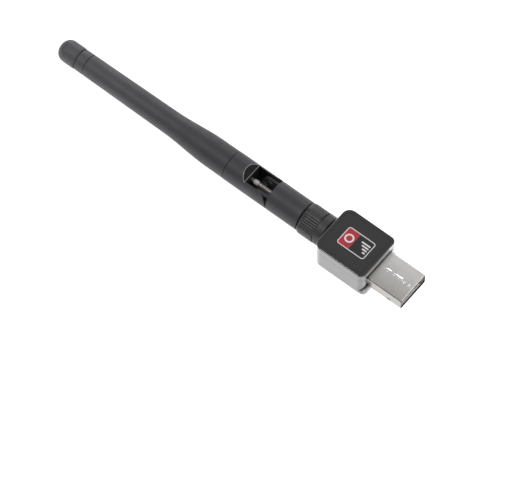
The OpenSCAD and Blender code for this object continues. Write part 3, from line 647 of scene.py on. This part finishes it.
def makeTube():
    a, b, r, edge, ease = tube["start"], tube["end"], tube["radius"], tube["edge"], 0.3 * tube["edge"]
    bore, hole, ferrule, wall = tube["bore"], tube["coaxHole"], tube["ferruleBore"], a + tube["wall"]
    sphere = (tube["domeRadius"] ** 2 + tube["dome"] ** 2) / (2 * tube["dome"])
    outline = [(a, r - edge), (a + ease, r - ease), (a + edge, r), (b - edge, r), (b - ease, r - ease),
               (b, r - edge)]
    for k in range(7):
        y = tube["domeRadius"] + (hole - tube["domeRadius"]) * k / 6
        outline.append((b + tube["dome"] - sphere + (sphere ** 2 - y ** 2) ** 0.5, y))
    outline += [(b - tube["web"], hole), (b - tube["web"], bore), (wall, bore), (wall, ferrule), (a, ferrule)]
    bm = turned(outline)
    pivot = atS(pivotS)
    inner, outer = tube["lugY"]
    for y0, y1 in ((-outer, -inner), (inner, outer)):
        arm = block((pivot, y0, -tube["lug"]), (atS(b - 0.8), y1, tube["lug"]))
        eye = rod((pivot, y0, 0), (pivot, y1, 0), tube["lug"])
        bm = added(bm, softened(added(arm, eye), 0.1, 2))
    bm = cut(bm, rod((pivot, -6, 0), (pivot, 6, 0), tube["pinBore"], 40))
    return piece("swivelTube", bm, "antenna_base", ["lower_knuckle"], ["antennaBlack"])


fork = dict(start=21.85, end=38.25, radius=5.0, edge=0.15, slot=3.5, floor=-3.2, slotEnd=30.6, shelf=3.2,
            recessEnd=32.6, ear=3.5, spigot=3.72, spigotEnd=43.25, bore=3.0, boreStart=33.0, coaxHole=1.0,
            pinBore=1.23, pinReach=4.3, browEdge=0.09, sillEdge=0.16)


def isSill(edge):  # the edge across the end of the slot
    return level(edge, 0, atS(fork["slotEnd"])) and level(edge, 2, fork["shelf"])


# bevels the chosen edges and gives the new faces a look, here the painted highlight
def highlightedBevel(bm, width, segments, look, test):
    made = bmesh.ops.bevel(bm, geom=[e for e in bm.edges if test(e)], offset=width, offset_type="OFFSET",
                           affect="EDGES", segments=segments, profile=0.5, material=-1, clamp_overlap=True)
    for face in made["faces"]:
        face.material_index = look


def isInSlot(at, facing):
    inner = at.yz.length < fork["radius"] - 0.1 and abs(at.y) < 4.9
    return inner and caseEnd - at.x < fork["recessEnd"] and facing.x < 0.9


def makeFork():
    r, edge, pivot, sill = fork["radius"], fork["edge"], atS(pivotS), atS(fork["slotEnd"])
    a, b, hole, shelf = fork["start"], fork["end"], fork["coaxHole"], fork["shelf"]
    looks = ["antennaBlack", "slotShade", "edgeHighlight"]
    bm = turned([(a, hole), (a, r - edge), (a + edge, r), (b - edge, r), (b, r - edge), (b, fork["spigot"]),
                 (fork["spigotEnd"], fork["spigot"]), (fork["spigotEnd"], fork["bore"]),
                 (fork["boreStart"], fork["bore"]), (fork["boreStart"], hole)])
    slot = block((sill, -fork["slot"], fork["floor"]), (atS(a) + 1, fork["slot"], 7))
    # a slope leads down to the slot
    slope = Vector((shelf - r, 0, atS(fork["recessEnd"]) - sill)).normalized()
    wedge = block((atS(fork["recessEnd"]) - 2, -7, shelf), (sill + 0.5, 7, 8))
    sliced(wedge, (sill, 0, shelf), slope, clear=True)
    bmesh.ops.holes_fill(wedge, edges=[e for e in wedge.edges if e.is_boundary], sides=0)
    # the ends of the ears are round about the pivot
    ears = cut(block((pivot, -7, 0), (pivot + 8, 7, 8)), rod((pivot, -8, 0), (pivot, 8, 0), fork["ear"], 96))
    bm = cut(bm, slot, wedge, ears)
    # fine bevels with a painted highlight: round the slope, and along the end of the slot
    highlightedBevel(bm, fork["browEdge"], 1, looks.index("edgeHighlight"), lambda e: not isSill(e)
         and max(v.co.z for v in e.verts) > shelf + 0.02
         and sum(abs(f.normal.dot(slope)) > 0.999 for f in e.link_faces) == 1)
    highlightedBevel(bm, fork["sillEdge"], 3, looks.index("edgeHighlight"), isSill)
    reach = fork["pinReach"]
    bm = cut(bm, rod((pivot, -reach, 0), (pivot, reach, 0), fork["pinBore"], 40))
    # painted shade inside the slot and the recess
    paint(bm, looks.index("slotShade"), lambda f: f.material_index == 0 and isInSlot(middle(f), f.normal))
    return piece("forkKnuckle", bm, "antenna_mast", ["upper_knuckle"], looks)


mast = dict(start=38.3, shoulder=45.0, waist=63.0, end=95.2, radius=4.93, waistRadius=3.92, tipRadius=3.65,
            edge=0.12, socket=3.77, socketEnd=43.45, bore=2.75)


def mastRadius(s):
    if s < mast["waist"]:
        t = max(0, (s - mast["shoulder"]) / (mast["waist"] - mast["shoulder"]))
        return mast["radius"] - (mast["radius"] - mast["waistRadius"]) * t * t * (3 - 2 * t)
    t = (s - mast["waist"]) / (mast["end"] - mast["waist"])
    return mast["waistRadius"] + (mast["tipRadius"] - mast["waistRadius"]) * t


def makeMast():
    a, b, edge, shoulder, waist = mast["start"], mast["end"], mast["edge"], mast["shoulder"], mast["waist"]
    stations = [a + edge]
    stations += [shoulder + (waist - shoulder) * k / 18 for k in range(18)]
    stations += [waist + (b - edge - waist) * k / 8 for k in range(9)]
    outline = [(a, mast["socket"]), (a, mast["radius"] - edge)]
    outline += [(s, mastRadius(s)) for s in stations]
    outline += [(b, mast["tipRadius"] - edge), (b, mast["bore"]), (mast["socketEnd"], mast["bore"]),
                (mast["socketEnd"], mast["socket"])]
    return piece("mastSleeve", turned(outline), "antenna_mast", ["antenna_sleeve"],
                 ["antennaBlack"])


cap = dict(start=95.3, groove=98.6, end=106.2, edge=0.12, ring=3.65, radius=3.75, round=3.0, plug=2.7,
           plugLength=3, grooveDepth=0.35)


def makeCap():
    a, g, r, ring, edge = cap["start"], cap["groove"], cap["radius"], cap["ring"], cap["edge"]
    root, floor, curve = a - cap["plugLength"], ring - cap["grooveDepth"], cap["round"]
    outline = [(root, 0), (root, cap["plug"]), (a, cap["plug"]), (a, ring - edge), (a + edge, ring),
               (g - 0.3, ring), (g - 0.2, ring - edge), (g - 0.16, floor), (g + 0.12, floor),
               (g + 0.16, r - 0.25), (g + 0.32, r - 0.08), (g + 0.6, r)]
    for k in range(13):
        angle = radians(7.5 * k)
        outline.append((cap["end"] - curve + curve * sin(angle), r - curve + curve * cos(angle)))
    outline.append((cap["end"], 0))
    return piece("tipCap", turned(outline), "antenna_mast", ["tip_cap"], ["antennaBlack"])


cable = dict(start=22.05, end=31.0, radius=0.65, resin=(27.7, 29.6), resinRadius=0.88, bend=(23.2, 27.5))


def makeCable():
    a, b, r, (c, d) = cable["start"], cable["end"], cable["radius"], cable["resin"]
    looks = ["cableBrown", "resinGrey"]
    outline = [(a, 0), (a, r)] + [(a + (c - a) * k / 24, r) for k in range(1, 25)]
    lump = cable["resinRadius"] - r
    outline += [(c + (d - c) * k / 8, r + lump * sin(pi * k / 8) ** 0.6) for k in range(1, 8)]
    outline += [(d, r), (b, r), (b, 0)]
    bm = turned(outline, 32)
    paint(bm, looks.index("resinGrey"), lambda f: c < caseEnd - middle(f).x < d)
    made = piece("elbowCable", bm, None, ["coax_elbow"], looks, 60)
    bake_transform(made)
    return made


makeTube()
makeFork()
makeMast()
makeCap()
makeCable()
print("antenna made")


# ---- pieces kept from the frame ----

keptLooks = {
    "usb_tongue": "tongueWhite", "usb_contacts": "gold", "circuit_board": "boardGreen",
    "wifi_chip": "chipBlack", "flash_chip": "chipBlack", "crystal_can": "canMetal",
    "chip_passives": "passiveTan",
    "status_light": "lightClear", "jack_insulator": "ptfe", "jack_pin": "gold", "ferrule": "nickel",
    "snap_ring": "nickel", "gasket": "rubber", "swivel_clip": "nickel", "contact_insulator": "ptfe",
    "center_contact": "gold", "coax_lower": "cableBrown", "elbow_pins": "nickel", "coax_upper": "cableBrown",
    "dipole_sleeve": "brass", "radiator": "brass", "spacer_rings": "ptfe",
}
for nodeName, look in keptLooks.items():
    cadNodes[nodeName].data.materials.clear()
    cadNodes[nodeName].data.materials.append(materials[look])
print("kept nodes painted:", len(keptLooks))


# ---- floor, light and camera ----

studio = dict(floorSize=6.0, floorZ=-0.00542, floorGlow=0.8, sky=0.74, horizon=0.06, dimBand=(0.2, 0.7),
              lights=[dict(name="keySide", at=(-0.27, -0.34, 0.79), size=0.22, power=1.2),
                      dict(name="farSide", at=(-0.5, 0.75, 0.35), size=0.4, power=1.8)])


def makeSky(world):  # bright overhead, with a dim band where the paper meets the dark of the room
    backdrop = world.node_tree.nodes["Background"]
    backdrop.inputs["Color"].default_value = (1, 1, 1, 1)
    direction = addNode(world, "ShaderNodeTexCoord").outputs["Generated"]
    height = addNode(world, "ShaderNodeSeparateXYZ", wires={"Vector": direction}).outputs["Z"]
    strength = ramp(world, height, studio["horizon"], studio["sky"], *studio["dimBand"])
    world.node_tree.links.new(strength, backdrop.inputs["Strength"])


def makeStudio():
    bm = bmesh.new()
    bmesh.ops.create_grid(bm, x_segments=1, y_segments=1, size=studio["floorSize"] / 2)
    bmesh.ops.translate(bm, vec=(0, 0, studio["floorZ"]), verts=bm.verts)
    floor = solid("floor", bm)
    paper = bpy.data.materials.new("floorPaper")
    paper.use_nodes = True
    shader = paper.node_tree.nodes["Principled BSDF"]
    shader.inputs["Base Color"].default_value = (0.88, 0.88, 0.88, 1)
    shader.inputs["Roughness"].default_value = 0.9
    shader.inputs["Emission Color"].default_value = (1, 1, 1, 1)
    shader.inputs["Emission Strength"].default_value = studio["floorGlow"]
    floor.data.materials.append(paper)
    world = bpy.data.worlds.new("studio")
    scene.world = world
    world.use_nodes = True
    makeSky(world)
    for look in studio["lights"]:
        lamp = bpy.data.lights.new(look["name"], "AREA")
        lamp.shape, lamp.size, lamp.energy = "SQUARE", look["size"], look["power"]
        holder = bpy.data.objects.new(look["name"], lamp)
        scene.collection.objects.link(holder)
        holder.location = look["at"]
        holder.rotation_euler = Vector(look["at"]).to_track_quat("Z", "Y").to_euler()


view = dict(azimuth=38.85, elevation=61.0, distance=1.5, aim=(-0.035885, -0.01645, 0), lens=352.64)


def makeCamera():
    a, e = radians(view["azimuth"]), radians(view["elevation"])
    back = Vector((sin(a) * cos(e), -cos(a) * cos(e), sin(e)))
    data = bpy.data.cameras.new("camera")
    data.lens, data.sensor_width = view["lens"], 36
    data.clip_start, data.clip_end = 0.1, 20
    camera = bpy.data.objects.new("camera", data)
    scene.collection.objects.link(camera)
    camera.location = Vector(view["aim"]) + back * view["distance"]
    camera.rotation_euler = back.to_track_quat("Z", "Y").to_euler()
    scene.camera = camera


makeStudio()
makeCamera()
scene.view_settings.view_transform = "Standard"
print("studio and camera set")
